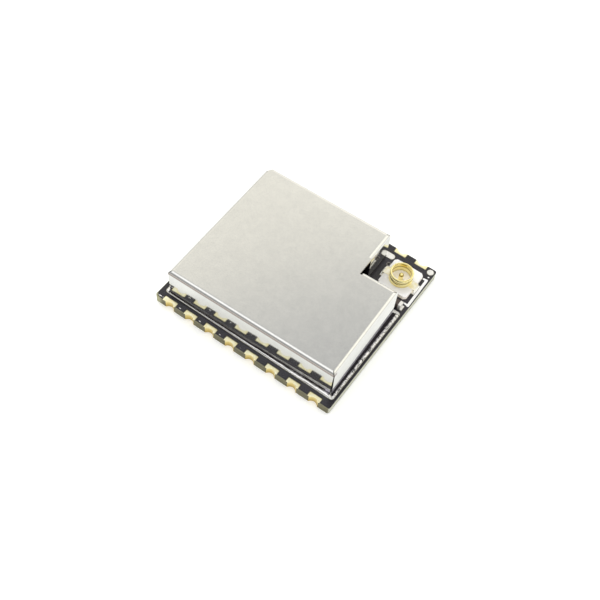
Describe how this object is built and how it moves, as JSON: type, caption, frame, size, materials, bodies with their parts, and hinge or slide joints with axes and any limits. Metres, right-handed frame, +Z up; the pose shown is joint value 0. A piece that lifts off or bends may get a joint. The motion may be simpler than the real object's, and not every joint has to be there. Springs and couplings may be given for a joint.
{
  "type": "wireless network module",
  "caption": "Small surface-mount radio board with castellated edge pads, a folded metal shield can and a round push-on coax aerial socket.",
  "frame": {"origin": "middle of the underside, level with the faces of the bottom pads that rest on the host board", "axes": "+X along the board's longer side and its two rows of pads, +Y from the front row towards the rear row and the coax socket, +Z up out of the can's top"},
  "size_m": [0.0168, 0.016, 0.0038],
  "materials": {
    "laminate": "sawn glass epoxy",
    "solder_mask": "black, slightly glossy",
    "tinned_land": "bright tin",
    "gold_land": "pale gold plating",
    "can_sheet": "bright tinned sheet, satin top",
    "solder": "bright solder",
    "socket_base": "ivory, moulded",
    "socket_gold": "gold plating",
    "chip_body": "black moulding",
    "tinned_lead": "matt tin",
    "tinned_end": "matt tin",
    "crystal_ceramic": "fired ceramic",
    "crystal_metal": "plated lid",
    "capacitor_body": "fired ceramic",
    "resistor_body": "glazed black",
    "inductor_body": "fired ceramic"
  },
  "bodies": {
    "root": {"board_core": "laminate", "mask_top": "solder_mask", "mask_under": "solder_mask", "shield_land": "tinned_land", "coax_lands": "tinned_land", "chip_lands": "gold_land", "test_land": "tinned_land", "via": "gold_land", "shield_can": "can_sheet", "solder_front": "solder", "solder_right": "solder", "solder_left": "solder", "solder_rear": "solder", "coax_base": "socket_base", "coax_shell": "socket_gold", "coax_contact": "socket_gold", "coax_leg_solder": "solder", "coax_tail_solder": "solder", "radio_chip": "chip_body", "radio_terminals": "tinned_lead", "flash_chip": "chip_body", "flash_leads": "tinned_lead", "crystal_base": "crystal_ceramic", "crystal_lid": "crystal_metal", "capacitors": "capacitor_body", "capacitor_ends": "tinned_end", "resistors": "resistor_body", "resistor_ends": "tinned_end", "inductors": "inductor_body", "inductor_ends": "tinned_end", "aerial_capacitor": "capacitor_body", "aerial_capacitor_ends": "tinned_end", "pad_front_1": "gold_land", "pad_front_2": "gold_land", "pad_front_3": "gold_land", "pad_front_4": "gold_land", "pad_front_5": "gold_land", "pad_front_6": "gold_land", "pad_front_7": "gold_land", "pad_front_8": "gold_land", "pad_rear_1": "gold_land", "pad_rear_2": "gold_land", "pad_rear_3": "gold_land", "pad_rear_4": "gold_land", "pad_rear_5": "gold_land", "pad_rear_6": "gold_land", "pad_rear_7": "gold_land", "pad_rear_8": "gold_land"}
  },
  "joints": []
}
